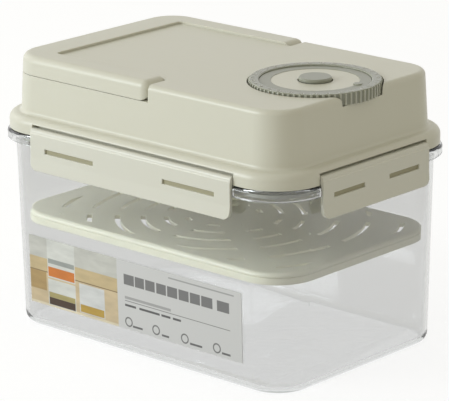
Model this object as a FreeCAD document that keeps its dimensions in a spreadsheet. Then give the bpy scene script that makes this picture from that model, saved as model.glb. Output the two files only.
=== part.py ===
import FreeCAD, Part
import math
import os
import Sketcher

# A kitchen keeper for pickling: a clear box, a domed lid with four hinged latches, a carry handle,
# a date dial with a venting button, and a perforated plate that presses on what lies below it.
# Origin at the bottom centre, +X along the long front, -Y out of the front, +Z up. Millimetres.

doc = FreeCAD.newDocument("KimchiContainer")
sheet = doc.addObject("Spreadsheet::Sheet", "Sizes")

# Driving dimensions. An inset is measured inwards from the outer edge of the box's rim.
drivingSizes = {
    "rim_length": 232.2,
    "rim_width": 154.6,
    "rim_radius": 26.0,
    "box_height": 125.4,
    "foot_inset": 3.0,
    "wall": 2.0,
    "floor_thickness": 2.6,
    "foot_round": 6.0,
    "inner_round": 4.5,
    "lip_overhang": 5.0,
    "lip_drop": 7.0,
    "lip_wall": 2.4,
    "lip_round": 2.4,
    "lip_edge_round": 1.9,
    "lip_root": 0.25,
    "lip_relief_gap": 1.2,
    "running_gap": 0.3,
    "fixing_gap": 0.05,
    "flange_overhang": 3.6,
    "flange_height": 10.0,
    "flange_round": 4.8,
    "flange_fillet": 2.3,
    "shell_wall": 2.2,
    "dome_inset": 3.9,
    "dome_top_inset": 5.9,
    "dome_height": 34.7,
    "dome_round": 3.4,
    "skirt_inset": 3.0,
    "skirt_wall": 2.4,
    "skirt_drop": 6.0,
    "gasket_inset": 1.0,
    "gasket_width": 1.7,
    "gasket_height": 1.8,
    "gasket_proud": 0.1,
    "front_latch_length": 163.4,
    "side_latch_length": 96.0,
    "latch_skirt": 20.1,
    "latch_overhang": 6.0,
    "latch_wall": 2.2,
    "latch_band": 3.0,
    "latch_step": 0.4,
    "latch_flare": 0.9,
    "latch_flare_height": 8.0,
    "latch_corner": 5.0,
    "latch_end_gap": 0.6,
    "hinge_overhang": 2.2,
    "hinge_rise": 3.1,
    "knuckle_radius": 2.4,
    "knuckle_round": 2.3,
    "hinge_pin_radius": 0.9,
    "hinge_pin_tail": 4.0,
    "slot_depth": 7.0,
    "slot_height": 3.0,
    "front_slot_centre": 48.9,
    "front_slot_length": 41.2,
    "side_slot_centre": 24.9,
    "side_slot_length": 27.8,
    "lug_root": 1.0,
    "lug_end_gap": 0.6,
    "lug_edge": 0.5,
    "handle_rise": 1.5,
    "handle_depth": 11.7,
    "handle_bar_width": 23.8,
    "handle_arm_width": 16.0,
    "handle_end": 5.3,
    "handle_end_round": 5.0,
    "handle_top_round": 4.5,
    "handle_end_gap": 1.8,
    "handle_core_depth": 7.5,
    "handle_core_wall": 2.6,
    "handle_core_length": 96.0,
    "panel_corner": 3.0,
    "handle_pin_radius": 2.0,
    "handle_pin_reach": 10.0,
    "handle_pin_root": 4.0,
    "pivot_boss_radius": 4.4,
    "pivot_boss_end": 1.2,
    "dial_distance": 74.4,
    "dial_radius": 39.5,
    "dial_gap": 0.8,
    "dial_depth": 6.2,
    "dial_rise": 1.5,
    "dial_inner_radius": 33.3,
    "dial_edge_round": 0.8,
    "rib_count": 72,
    "rib_gap": 2.4,
    "rib_depth": 0.7,
    "pointer_inner_radius": 26.3,
    "pointer_distance": 27.0,
    "pointer_drop": 0.9,
    "pointer_bump_radius": 2.6,
    "pointer_bump_rise": 0.5,
    "pointer_angle": 17.0,
    "hub_flange_height": 2.4,
    "disc_drop": 0.2,
    "button_radius": 9.9,
    "button_height": 2.2,
    "button_rise": 0.1,
    "button_round": 0.7,
    "button_recess": 2.2,
    "stem_radius": 3.0,
    "spring_bore_radius": 6.6,
    "spring_floor": 1.2,
    "spring_radius": 5.0,
    "spring_wire": 0.45,
    "spring_turns": 3,
    "seal_radius": 8.0,
    "seal_height": 1.9,
    "clip_radius": 4.6,
    "clip_height": 0.9,
    "clip_groove": 0.6,
    "stem_tail": 0.8,
    "vent_count": 4,
    "vent_radius": 0.9,
    "vent_circle": 5.4,
    "vent_angle": 45.0,
    "press_inset": 5.9,
    "press_radius": 25.0,
    "press_bottom": 67.3,
    "press_height": 7.0,
    "press_round": 2.8,
    "press_deck": 2.4,
    "press_wall": 2.2,
    "press_gap": 0.4,
    "press_groove_drop": 2.9,
    "press_groove_height": 0.5,
    "press_groove_depth": 0.6,
    "ring_count": 6,
    "first_ring_radius": 22.0,
    "ring_pitch": 13.3,
    "ring_growth": 1.6,
    "ring_slot_width": 3.3,
    "ring_margin": 8.5,
    "ring_end_margin": 12.2,
    "ring_drift": 1.2,
    "ring_field_shift": 4.5,
    "spoke_width": 13.0,
    "spoke_angle": 35.0,
    "label_left": -93.0,
    "label_right": 83.2,
    "label_bottom": 16.5,
    "label_top": 60.1,
    "label_thickness": 0.3,
}


class Size:
    """A number together with the spreadsheet formula that gives it."""

    def __init__(self, value, formula):
        self.value = value
        self.formula = formula

    def joined(self, other, sign, value):
        return Size(value, "(%s %s %s)" % (self.formula, sign, other.formula))

    def __add__(self, other):
        other = asSize(other)
        return self.joined(other, "+", self.value + other.value)

    def __sub__(self, other):
        other = asSize(other)
        return self.joined(other, "-", self.value - other.value)

    def __mul__(self, other):
        other = asSize(other)
        return self.joined(other, "*", self.value * other.value)

    def __truediv__(self, other):
        other = asSize(other)
        return self.joined(other, "/", self.value / other.value)

    def __neg__(self):
        return Size(-self.value, "(0 - %s)" % self.formula)


def asSize(number):
    return number if isinstance(number, Size) else Size(float(number), "(%r)" % float(number))


def fillSheet():
    for row, (alias, value) in enumerate(drivingSizes.items(), start=1):
        sheet.set("A%d" % row, alias)
        sheet.set("B%d" % row, str(value))
        sheet.setAlias("B%d" % row, alias)
    doc.recompute()
    return {alias: Size(float(sheet.get(alias)), "Sizes." + alias) for alias in drivingSizes}


z = fillSheet()

# Levels and lines that several pieces share
rimX = z["rim_length"] / 2
rimY = z["rim_width"] / 2
lipBottom = z["box_height"] - z["lip_drop"]
flangeBottom = z["box_height"] + z["running_gap"]
flangeTop = flangeBottom + z["flange_height"]
gasketBottom = flangeBottom - z["gasket_proud"]
gasketTop = gasketBottom + z["gasket_height"]
lidTop = flangeTop + z["dome_height"]
domeDraft = (z["dome_top_inset"] - z["dome_inset"]) / z["dome_height"]
cavityTop = lidTop - z["shell_wall"]
footDraft = z["foot_inset"] / z["box_height"]
hingeLevel = z["box_height"] + z["hinge_rise"]
latchTop = hingeLevel + z["knuckle_radius"]
latchBottom = z["box_height"] - z["latch_skirt"]
slotCentre = z["box_height"] - z["slot_depth"]
handleTop = lidTop + z["handle_rise"]
handleBottom = handleTop - z["handle_depth"]
rebateFloor = handleBottom - z["running_gap"]
handleAxis = (handleTop + handleBottom) / 2
handleInnerY = rimY - z["dome_top_inset"] - z["handle_arm_width"]
handleInnerX = rimX - z["dome_top_inset"] - z["handle_bar_width"]
panelInside = handleInnerY - z["running_gap"] - z["shell_wall"]
wellRadius = z["dial_radius"] + z["dial_gap"]
wellFloor = lidTop - z["dial_depth"]
wellPlateBottom = wellFloor - z["shell_wall"]
ringBottom = wellFloor + z["running_gap"]
ringTop = lidTop + z["dial_rise"]
hubFlangeTop = wellFloor + z["hub_flange_height"]
hubRadius = z["dial_inner_radius"] - z["running_gap"]
pointerTop = ringTop - z["pointer_drop"]
discTop = pointerTop - z["disc_drop"]
discRadius = z["pointer_inner_radius"] - z["fixing_gap"]
bumpFloor = discTop - z["disc_drop"]
recessFloor = discTop - z["button_recess"]
buttonBottom = discTop + z["button_rise"]
buttonTop = buttonBottom + z["button_height"]
springFloor = wellFloor + z["spring_floor"]
stemBore = z["stem_radius"] + z["running_gap"]
sealTop = wellPlateBottom - z["running_gap"]
sealBottom = sealTop - z["seal_height"]
clipBottom = sealBottom - z["clip_height"]
stemBottom = clipBottom - z["stem_tail"]
pressTop = z["press_bottom"] + z["press_height"]
pressShift = (
    z["press_inset"] - z["wall"] - footDraft * (z["box_height"] - z["press_bottom"]) - z["press_gap"]
)
far = rimX + rimY
tolerance = 0.02

# The four sides: turn about Z of a side that faces +X, its distance out, and its latch and slots
sides = {
    "right": {"turn": 0, "reach": rimX, "latch": "side_latch_length", "slot": "side_slot"},
    "back": {"turn": 90, "reach": rimY, "latch": "front_latch_length", "slot": "front_slot"},
    "left": {"turn": 180, "reach": rimX, "latch": "side_latch_length", "slot": "side_slot"},
    "front": {"turn": 270, "reach": rimY, "latch": "front_latch_length", "slot": "front_slot"},
}


def bind(feature, prop, size):
    feature.setExpression(prop, asSize(size).formula)


def newBody(name):
    return doc.addObject("PartDesign::Body", name)


def newSketch(body, name, planeRole, offset):
    sketch = body.newObject("Sketcher::SketchObject", name)
    plane = [f for f in body.Origin.OriginFeatures if f.Role == planeRole][0]
    sketch.AttachmentSupport = [(plane, "")]
    sketch.MapMode = "FlatFace"
    bind(sketch, "AttachmentOffset.Base.z", offset)
    return sketch


def addSized(sketch, kind, first, firstPoint, second, secondPoint, size):
    index = sketch.addConstraint(
        Sketcher.Constraint(kind, first, firstPoint, second, secondPoint, size.value)
    )
    bind(sketch, "Constraints[%d]" % index, size)


def addRoundedRectangle(sketch, length, width, radius):
    """A rectangle with round corners about the sketch's origin."""
    x = length.value / 2 - radius.value
    y = width.value / 2 - radius.value
    start = sketch.GeometryCount
    up = FreeCAD.Vector(0, 0, 1)
    arcs = []
    for index, (cx, cy) in enumerate(((x, y), (-x, y), (-x, -y), (x, -y))):
        circle = Part.Circle(FreeCAD.Vector(cx, cy, 0), up, radius.value)
        arc = Part.ArcOfCircle(circle, math.radians(90 * index), math.radians(90 * index + 90))
        sketch.addGeometry(arc)
        arcs.append(arc)
    for index in range(4):
        tail = arcs[index].EndPoint
        head = arcs[(index + 1) % 4].StartPoint
        sketch.addGeometry(Part.LineSegment(tail, head))
    for index in range(4):
        arc = start + index
        line = start + 4 + index
        following = start + (index + 1) % 4
        sketch.addConstraint(Sketcher.Constraint("Tangent", arc, 2, line, 1))
        sketch.addConstraint(Sketcher.Constraint("Tangent", line, 2, following, 1))
        direction = "Horizontal" if index % 2 == 0 else "Vertical"
        sketch.addConstraint(Sketcher.Constraint(direction, line))
        if index:
            sketch.addConstraint(Sketcher.Constraint("Equal", start, arc))
    sketch.addConstraint(Sketcher.Constraint("Symmetric", start, 3, start + 2, 3, -1, 1))
    addSized(sketch, "DistanceX", start + 4, 2, start + 4, 1, length - radius * 2)
    addSized(sketch, "DistanceY", start + 7, 1, start + 7, 2, width - radius * 2)
    index = sketch.addConstraint(Sketcher.Constraint("Radius", start, radius.value))
    bind(sketch, "Constraints[%d]" % index, radius)


def loopSketch(body, name, level, *insets):
    """Loops parallel to the rim, each by its own inset, at one level."""
    sketch = newSketch(body, name, "XY_Plane", level)
    for inset in insets:
        inset = asSize(inset)
        addRoundedRectangle(
            sketch,
            z["rim_length"] - inset * 2,
            z["rim_width"] - inset * 2,
            z["rim_radius"] - inset,
        )
    return sketch


def polygonSketch(body, name, planeRole, offset, points):
    """A closed outline of straight edges through points given as pairs of sizes."""
    sketch = newSketch(body, name, planeRole, offset)
    points = [(asSize(a), asSize(b)) for a, b in points]
    vectors = [FreeCAD.Vector(a.value, b.value, 0) for a, b in points]
    count = len(points)
    for index in range(count):
        sketch.addGeometry(Part.LineSegment(vectors[index], vectors[(index + 1) % count]))
    for index in range(count):
        sketch.addConstraint(Sketcher.Constraint("Coincident", index, 2, (index + 1) % count, 1))
        addSized(sketch, "DistanceX", -1, 1, index, 1, points[index][0])
        addSized(sketch, "DistanceY", -1, 1, index, 1, points[index][1])
    return sketch


def circleSketch(body, name, level, x, radius):
    sketch = newSketch(body, name, "XY_Plane", level)
    centre = FreeCAD.Vector(asSize(x).value, 0, 0)
    sketch.addGeometry(Part.Circle(centre, FreeCAD.Vector(0, 0, 1), radius.value))
    addSized(sketch, "DistanceX", -1, 1, 0, 3, asSize(x))
    sketch.addConstraint(Sketcher.Constraint("PointOnObject", 0, 3, -1))
    index = sketch.addConstraint(Sketcher.Constraint("Radius", 0, radius.value))
    bind(sketch, "Constraints[%d]" % index, radius)
    return sketch


def pad(body, sketch, length, both=False):
    feature = body.newObject("PartDesign::Pad", sketch.Name + "Pad")
    feature.Profile = sketch
    bind(feature, "Length", length)
    if both:
        feature.SideType = "Symmetric"
    return feature


def pocket(body, sketch, depth, upwards=False):
    feature = body.newObject("PartDesign::Pocket", sketch.Name + "Pocket")
    feature.Profile = sketch
    bind(feature, "Length", depth)
    feature.Reversed = upwards
    return feature


def drafted(body, name, level, inset, height, headInset):
    """A block on a loop parallel to the rim, whose sides slope to another inset at its top."""
    inset = asSize(inset)
    sketch = loopSketch(body, name, level, inset)
    pad(body, sketch, height)
    doc.recompute()
    base = body.Tip
    low = asSize(level).value
    high = low + asSize(height).value
    walls = []
    floors = []
    for index, face in enumerate(base.Shape.Faces, start=1):
        extent = face.BoundBox
        if near(extent.ZMin, low) and near(extent.ZMax, high):
            walls.append("Face%d" % index)
        elif near(extent.ZMin, low) and near(extent.ZLength, 0):
            floors.append("Face%d" % index)
    feature = body.newObject("PartDesign::Draft", name + "Draft")
    feature.Base = (base, walls)
    feature.NeutralPlane = (base, floors[:1])
    inwards = asSize(headInset) - inset
    feature.Reversed = inwards.value < 0
    slope = inwards if inwards.value >= 0 else -inwards
    angle = math.degrees(math.atan(slope.value / asSize(height).value))
    bind(feature, "Angle", Size(angle, "atan(%s / %s)" % (slope.formula, asSize(height).formula)))
    doc.recompute()
    return feature


def fillet(body, radius, wanted):
    """Rounds the edges of the body's last feature whose middle points the test accepts."""
    doc.recompute()
    base = body.Tip
    names = []
    for index, edge in enumerate(base.Shape.Edges, start=1):
        middle = edge.valueAt((edge.FirstParameter + edge.LastParameter) / 2)
        if wanted(middle, edge):
            names.append("Edge%d" % index)
    feature = body.newObject("PartDesign::Fillet", base.Name + "Round")
    feature.Base = (base, names)
    bind(feature, "Radius", radius)
    return feature


def near(value, size):
    return abs(value - asSize(size).value) < tolerance


def upright(edge):
    return near(edge.Length, edge.BoundBox.ZLength)


def insetOf(point):
    """How far a point lies inside the line of the rim's outer edge."""
    radius = z["rim_radius"].value
    outX = max(abs(point.x) - (rimX.value - radius), 0)
    outY = max(abs(point.y) - (rimY.value - radius), 0)
    return radius - math.hypot(outX, outY)


def turnBody(feature, side, shift=0):
    """Turns a feature built facing +X to its own side, shifted along that side."""
    turn = sides[side]["turn"]
    cosine = round(math.cos(math.radians(turn)))
    sine = round(math.sin(math.radians(turn)))
    shift = asSize(shift)
    feature.Placement = FreeCAD.Placement(
        FreeCAD.Vector(0, 0, 0), FreeCAD.Rotation(FreeCAD.Vector(0, 0, 1), turn)
    )
    bind(feature, "Placement.Base.x", shift * -sine)
    bind(feature, "Placement.Base.y", shift * cosine)
    return feature


def sideBar(name, side, points, length, shift=0):
    """A bar along one side of the box, whose section is given by distance out and height."""
    body = newBody(name)
    section = polygonSketch(body, name + "Section", "XZ_Plane", 0, points)
    pad(body, section, length, both=True)
    return turnBody(body, side, shift)


def revolved(name, points, x=0):
    """A turned piece about an upright axis at distance x from the middle."""
    body = newBody(name)
    section = polygonSketch(body, name + "Section", "XZ_Plane", 0, points)
    feature = body.newObject("PartDesign::Revolution", name + "Revolution")
    feature.Profile = section
    feature.ReferenceAxis = (section, ["V_Axis"])
    feature.Angle = 360.0
    bind(body, "Placement.Base.x", x)
    return body


def cylinder(name, radius, height, x=0, y=0, level=0):
    feature = doc.addObject("Part::Cylinder", name)
    bind(feature, "Radius", radius)
    bind(feature, "Height", height)
    bind(feature, "Placement.Base.x", x)
    bind(feature, "Placement.Base.y", y)
    bind(feature, "Placement.Base.z", level)
    return feature


def fused(name, features):
    feature = doc.addObject("Part::MultiFuse", name)
    feature.Shapes = features
    return feature


def common(name, features):
    feature = doc.addObject("Part::MultiCommon", name)
    feature.Shapes = features
    return feature


def cut(name, base, tool):
    feature = doc.addObject("Part::Cut", name)
    feature.Base = base
    feature.Tool = tool
    return feature


def slotShifts(side):
    """Where the two slots of a side's latch lie along it."""
    centre = z[sides[side]["slot"] + "_centre"]
    return (("A", centre), ("B", -centre))


# The clear box, with a down-turned lip that is cut away behind each latch, and the lugs there
def makeContainer():
    body = newBody("boxBody")
    drafted(body, "boxFoot", 0, z["foot_inset"], z["box_height"], 0)
    fillet(body, z["foot_round"], lambda p, e: near(p.z, 0))
    lip = loopSketch(body, "lipOutline", lipBottom, -z["lip_overhang"])
    pad(body, lip, z["lip_drop"])
    fillet(body, z["lip_round"], lambda p, e: near(p.z, z["box_height"]))
    fillet(
        body,
        z["lip_edge_round"],
        lambda p, e: near(p.z, lipBottom) and near(insetOf(p), -z["lip_overhang"]),
    )
    inside = newBody("boxInside")
    depth = z["box_height"] - z["floor_thickness"]
    floorInset = z["wall"] + footDraft * depth
    drafted(inside, "floorLoop", z["floor_thickness"], floorInset, depth, z["wall"])
    fillet(inside, z["inner_round"], lambda p, e: near(p.z, z["floor_thickness"]))
    channelOutside = z["lip_wall"] - z["lip_overhang"]
    channel = loopSketch(body, "lipChannel", lipBottom, channelOutside, -z["lip_root"])
    pocket(body, channel, z["lip_drop"] - z["lip_wall"], upwards=True)
    reliefs = []
    lugs = []
    for side, data in sides.items():
        reach = data["reach"]
        length = z[data["latch"]] + z["lip_relief_gap"] * 2
        inner = reach + z["lip_root"]
        outer = reach + z["lip_overhang"] + z["lip_wall"]
        top = z["box_height"] + z["running_gap"]
        low = lipBottom - z["running_gap"]
        section = [(inner, low), (outer, low), (outer, top), (inner, top)]
        reliefs.append(sideBar(side + "LipRelief", side, section, length))
        root = reach - z["lug_root"]
        tip = reach + z["latch_overhang"] - z["latch_wall"] - z["running_gap"]
        half = z["slot_height"] / 2 - z["running_gap"]
        low = slotCentre - half
        shoulder = low + z["lug_edge"]
        section = [(root, low), (tip, low), (tip, shoulder), (root, shoulder + tip - root)]
        length = z[data["slot"] + "_length"] - z["lug_end_gap"] * 2
        for tag, shift in slotShifts(side):
            lugs.append(sideBar(side + "Lug" + tag, side, section, length, shift))
    trimmed = cut("trimmedBox", body, fused("lipReliefs", reliefs + [inside]))
    return fused("container", [trimmed] + lugs)


# A printed label, laid flat on the sloping front wall
def makeFrontLabel():
    def wallLine(level):
        return rimY - footDraft * (z["box_height"] - level) + z["fixing_gap"]

    low = z["label_bottom"]
    high = z["label_top"]
    paper = z["label_thickness"]
    section = [
        (wallLine(low), low),
        (wallLine(low) + paper, low),
        (wallLine(high) + paper, high),
        (wallLine(high), high),
    ]
    width = z["label_right"] - z["label_left"]
    middle = (z["label_right"] + z["label_left"]) / 2
    return sideBar("front_label", "front", section, width, middle)


def besideHandle():
    """All that the handle's U leaves free in plan: the panel between its arms and what lies past them."""
    end = z["handle_end"]
    return [
        (end, -far),
        (far, -far),
        (far, far),
        (end, far),
        (end, handleInnerY),
        (-handleInnerX, handleInnerY),
        (-handleInnerX, -handleInnerY),
        (end, -handleInnerY),
    ]


def rebateOutline(grow):
    """What the handle and its gap take out of the dome, grown towards the dome's middle."""
    inwards = z["running_gap"] + grow
    innerX = handleInnerX - inwards
    innerY = handleInnerY - inwards
    end = z["handle_end"] + z["handle_end_gap"] + grow
    return [
        (end, -far),
        (end, -innerY),
        (-innerX, -innerY),
        (-innerX, innerY),
        (end, innerY),
        (end, far),
        (-far, far),
        (-far, -far),
    ]


# The lid: a hollow dome on a flange, stepped for the handle, with a well for the dial
def makeLid():
    body = newBody("lidBody")
    flange = loopSketch(body, "flangeOutline", flangeBottom, -z["flange_overhang"])
    pad(body, flange, z["flange_height"])
    fillet(body, z["flange_round"], lambda p, e: near(p.z, flangeTop))
    drafted(body, "domeFoot", flangeTop, z["dome_inset"], z["dome_height"], z["dome_top_inset"])
    fillet(body, z["dome_round"], lambda p, e: near(p.z, lidTop))
    fillet(
        body,
        z["flange_fillet"],
        lambda p, e: near(p.z, flangeTop) and near(insetOf(p), z["dome_inset"]),
    )
    skirt = loopSketch(body, "skirtLoops", flangeBottom - z["skirt_drop"], z["skirt_inset"])
    pad(body, skirt, z["skirt_drop"] + z["shell_wall"])
    rebate = polygonSketch(body, "handleRebate", "XY_Plane", rebateFloor, rebateOutline(asSize(0)))
    pocket(body, rebate, handleTop - rebateFloor + z["handle_rise"], upwards=True)
    fillet(body, z["panel_corner"], panelCorner)
    well = circleSketch(body, "dialWell", wellFloor, z["dial_distance"], wellRadius)
    pocket(body, well, z["dial_depth"] + z["dial_rise"], upwards=True)
    groove = gasketRing("gasketGroove", flangeBottom - z["running_gap"], z["fixing_gap"])
    tools = [makeCavity(), groove]
    for side, data in sides.items():
        inner = data["reach"] + z["hinge_overhang"] - z["knuckle_radius"] - z["running_gap"]
        outer = data["reach"] + z["flange_overhang"] + z["latch_wall"]
        low = flangeBottom - z["running_gap"]
        high = hingeLevel + z["latch_overhang"] - z["hinge_overhang"] + z["running_gap"]
        section = [(inner, low), (outer, low), (outer, high), (inner, high)]
        length = z[data["latch"]] + z["latch_end_gap"] * 2
        tools.append(sideBar(side + "HingeNotch", side, section, length))
        tools.append(hingeCylinder(side + "PinHole", side, z["fixing_gap"]))
    for side in ("front", "back"):
        tools.append(handlePinShaft(side + "PivotHole", side, z["fixing_gap"]))
    below = wellPlateBottom - z["shell_wall"]
    tools.append(cylinder("stemHole", stemBore, z["shell_wall"] * 3, z["dial_distance"], 0, below))
    tools.extend(ventHoles())
    return cut("lid_shell", body, fused("lidTools", tools))


def panelCorner(p, e):
    """The upright edges at the two corners of the panel inside the handle."""
    gap = z["running_gap"]
    return upright(e) and near(-p.x, handleInnerX - gap) and near(abs(p.y), handleInnerY - gap)


# The hollow inside the dome, which leaves walls round the well and behind the handle
def makeCavity():
    body = newBody("cavityBody")
    wall = z["shell_wall"]
    headInset = z["dome_top_inset"] + wall - domeDraft * wall
    footInset = z["dome_inset"] + wall
    below = flangeBottom - z["skirt_drop"] - wall
    drafted(body, "cavityFoot", flangeTop, footInset, cavityTop - flangeTop, headInset)
    pad(body, loopSketch(body, "cavityThroat", below, footInset), flangeTop - below)
    mouth = loopSketch(body, "skirtMouth", below, z["skirt_inset"] + z["skirt_wall"])
    pad(body, mouth, flangeBottom - below)
    tall = handleTop - wellPlateBottom
    boss = cylinder("wellBoss", wellRadius + wall, tall, z["dial_distance"], 0, wellPlateBottom)
    shelf = newBody("rebateShelf")
    outline = polygonSketch(shelf, "shelfOutline", "XY_Plane", rebateFloor - wall, rebateOutline(wall))
    pad(shelf, outline, z["handle_depth"] * 2)
    bosses = [boss, shelf]
    depth = z["handle_pin_root"] + z["pivot_boss_end"]
    for side in ("front", "back"):
        name = side + "PivotBoss"
        length = depth + z["shell_wall"]
        radius = z["pivot_boss_radius"]
        bosses.append(acrossCylinder(name, side, radius, panelInside - depth, length))
    return cut("domeCavity", body, fused("cavityBosses", bosses))


def ventHoles():
    """Small holes in the well's floor, which the seal covers until the button is pressed."""
    holes = []
    for index in range(int(z["vent_count"].value)):
        angle = math.radians(z["vent_angle"].value + 360 * index / z["vent_count"].value)
        x = z["dial_distance"] + z["vent_circle"] * math.cos(angle)
        y = z["vent_circle"] * math.sin(angle)
        low = wellPlateBottom - z["shell_wall"]
        holes.append(cylinder("ventHole%d" % index, z["vent_radius"], z["shell_wall"] * 3, x, y, low))
    return holes


def gasketRing(name, level, clearance):
    """The gasket's ring, from one level up to its top, or the groove that takes it with a clearance."""
    body = newBody(name)
    outer = z["gasket_inset"] - clearance
    inner = z["gasket_inset"] + z["gasket_width"] + clearance
    loops = loopSketch(body, name + "Loops", level, outer, inner)
    pad(body, loops, gasketTop + clearance - level)
    return body


def hingeCylinder(name, side, extra, tails=True):
    """A cylinder along a side's hinge axis, wider than the pin by extra."""
    data = sides[side]
    beyond = z["hinge_pin_tail"] + extra if tails else z["latch_end_gap"]
    length = z[data["latch"]] + beyond * 2
    feature = doc.addObject("Part::Cylinder", name)
    bind(feature, "Radius", z["hinge_pin_radius"] + extra)
    bind(feature, "Height", length)
    turn = data["turn"]
    cosine = round(math.cos(math.radians(turn)))
    sine = round(math.sin(math.radians(turn)))
    upright = FreeCAD.Rotation(FreeCAD.Vector(0, 0, 1), turn)
    lying = FreeCAD.Rotation(FreeCAD.Vector(1, 0, 0), -90)
    feature.Placement = FreeCAD.Placement(FreeCAD.Vector(0, 0, 0), upright.multiply(lying))
    out = data["reach"] + z["hinge_overhang"]
    start = -(length / 2)
    bind(feature, "Placement.Base.x", out * cosine - start * sine)
    bind(feature, "Placement.Base.y", out * sine + start * cosine)
    bind(feature, "Placement.Base.z", hingeLevel)
    return feature


# A latch: a flap under a round knuckle, with two slots that take the lugs
def makeLatch(side):
    data = sides[side]
    name = side + "_latch"
    outer = data["reach"] + z["latch_overhang"]
    inner = outer - z["latch_wall"]
    back = data["reach"] + z["hinge_overhang"] - z["knuckle_radius"]
    shoulder = hingeLevel - z["knuckle_radius"]
    bend = latchBottom + z["latch_flare_height"]
    step = z["latch_step"]
    ledge = latchTop - z["latch_band"]
    points = [
        (outer + z["latch_flare"], latchBottom),
        (outer, bend),
        (outer, ledge),
        (outer - step, ledge + step),
        (outer - step, latchTop),
        (back, latchTop),
        (back, shoulder),
        (inner, shoulder),
        (inner, bend),
        (inner + z["latch_flare"], latchBottom),
    ]
    body = newBody(name + "Body")
    section = polygonSketch(body, name + "Section", "XZ_Plane", 0, points)
    pad(body, section, z[data["latch"]], both=True)
    half = z[data["latch"]] / 2
    fillet(body, z["latch_corner"], lambda p, e: near(p.z, latchBottom) and near(abs(p.y), half))

    def knuckleEdge(p, e):
        return near(p.y, 0) and (near(p.z, latchTop) or near(p.x, back) and near(p.z, shoulder))

    fillet(body, z["knuckle_round"], knuckleEdge)
    turnBody(body, side)
    tools = [hingeCylinder(name + "Bore", side, z["running_gap"], tails=False)]
    low = slotCentre - z["slot_height"] / 2
    high = slotCentre + z["slot_height"] / 2
    deep = inner - z["latch_wall"]
    wide = outer + z["latch_wall"]
    for tag, shift in slotShifts(side):
        slot = [(deep, low), (wide, low), (wide, high), (deep, high)]
        tools.append(sideBar(name + "Slot" + tag, side, slot, z[data["slot"] + "_length"], shift))
    return cut(name, body, fused(name + "Tools", tools))


# The carry handle: a U that fills the step round the dome's left half
def makeHandle():
    body = newBody("handleBody")
    lowInset = z["dome_inset"] + domeDraft * (handleBottom - flangeTop)
    highInset = z["dome_inset"] + domeDraft * (handleTop - flangeTop)
    drafted(body, "handleFoot", handleBottom, lowInset, z["handle_depth"], highInset)
    fillet(body, z["handle_top_round"], lambda p, e: near(p.z, handleTop))
    beside = polygonSketch(body, "handleInner", "XY_Plane", handleTop, besideHandle())
    pocket(body, beside, z["handle_depth"] * 2)

    def innerCorner(p, e):
        return upright(e) and near(-p.x, handleInnerX) and near(abs(p.y), handleInnerY)

    fillet(body, z["panel_corner"], innerCorner)

    def armEnd(p, e):
        ends = near(p.z, handleBottom) or near(p.z, handleTop)
        return near(p.x, z["handle_end"]) and ends

    fillet(body, z["handle_end_round"], armEnd)
    core = newBody("handleCore")
    left = -(rimX - highInset - z["handle_core_wall"])
    right = -(handleInnerX + z["handle_core_wall"])
    half = z["handle_core_length"] / 2
    outline = [(left, -half), (right, -half), (right, half), (left, half)]
    pad(core, polygonSketch(core, "coreOutline", "XY_Plane", handleBottom, outline), z["handle_core_depth"])
    bores = [handlePinShaft(side + "ArmBore", side, z["running_gap"]) for side in ("front", "back")]
    return cut("carry_handle", body, fused("handleTools", [core] + bores))


def handlePinShaft(name, side, extra):
    """The round shaft on the handle's pivot axis, from a boss inside the dome into an arm."""
    start = panelInside - z["handle_pin_root"] - extra
    end = handleInnerY + z["handle_pin_reach"] + extra
    return acrossCylinder(name, side, z["handle_pin_radius"] + extra, start, end - start)


def acrossCylinder(name, side, radius, start, length):
    """A cylinder on the pivot axis that runs out towards the front or the back."""
    sign = -1 if side == "front" else 1
    feature = doc.addObject("Part::Cylinder", name)
    bind(feature, "Radius", radius)
    bind(feature, "Height", length)
    feature.Placement = FreeCAD.Placement(
        FreeCAD.Vector(0, 0, 0), FreeCAD.Rotation(FreeCAD.Vector(1, 0, 0), -90 * sign)
    )
    bind(feature, "Placement.Base.y", start * sign)
    bind(feature, "Placement.Base.z", handleAxis)
    return feature


# The ribbed date ring that turns in the well
def makeDateRing():
    edge = z["dial_edge_round"]
    points = [
        (z["dial_inner_radius"], ringBottom),
        (z["dial_radius"], ringBottom),
        (z["dial_radius"], ringTop - edge),
        (z["dial_radius"] - edge, ringTop),
        (z["dial_inner_radius"] + edge, ringTop),
        (z["dial_inner_radius"], ringTop - edge / 2),
    ]
    body = revolved("date_ring", points, z["dial_distance"])
    half = z["rib_gap"] / 2
    inner = z["dial_radius"] - z["rib_depth"]
    outer = z["dial_radius"] + z["rib_depth"]
    outline = [(inner, -half), (outer, -half), (outer, half), (inner, half)]
    notch = polygonSketch(body, "ribNotch", "XY_Plane", ringBottom - edge, outline)
    cutting = pocket(body, notch, ringTop - ringBottom + edge * 2, upwards=True)
    doc.recompute()
    pattern = body.newObject("PartDesign::PolarPattern", "ribPattern")
    pattern.Originals = [cutting]
    pattern.Axis = (notch, ["N_Axis"])
    pattern.Angle = 360.0
    bind(pattern, "Occurrences", z["rib_count"])
    body.Tip = pattern
    return body


def pointerBump(name, extra, low):
    angle = math.radians(z["pointer_angle"].value)
    x = z["dial_distance"] + z["pointer_distance"] * math.cos(angle)
    y = z["pointer_distance"] * math.sin(angle)
    height = pointerTop + z["pointer_bump_rise"] - low
    return cylinder(name, z["pointer_bump_radius"] + extra, height, x, y, low)


# The plain band inside the date ring, with a round bump that points at a date
def makePointerRing():
    points = [
        (z["pointer_inner_radius"], hubFlangeTop),
        (hubRadius, hubFlangeTop),
        (hubRadius, pointerTop),
        (z["pointer_inner_radius"], pointerTop),
    ]
    band = revolved("pointerBand", points, z["dial_distance"])
    return fused("pointer_ring", [band, pointerBump("pointerBump", asSize(0), bumpFloor)])


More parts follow.
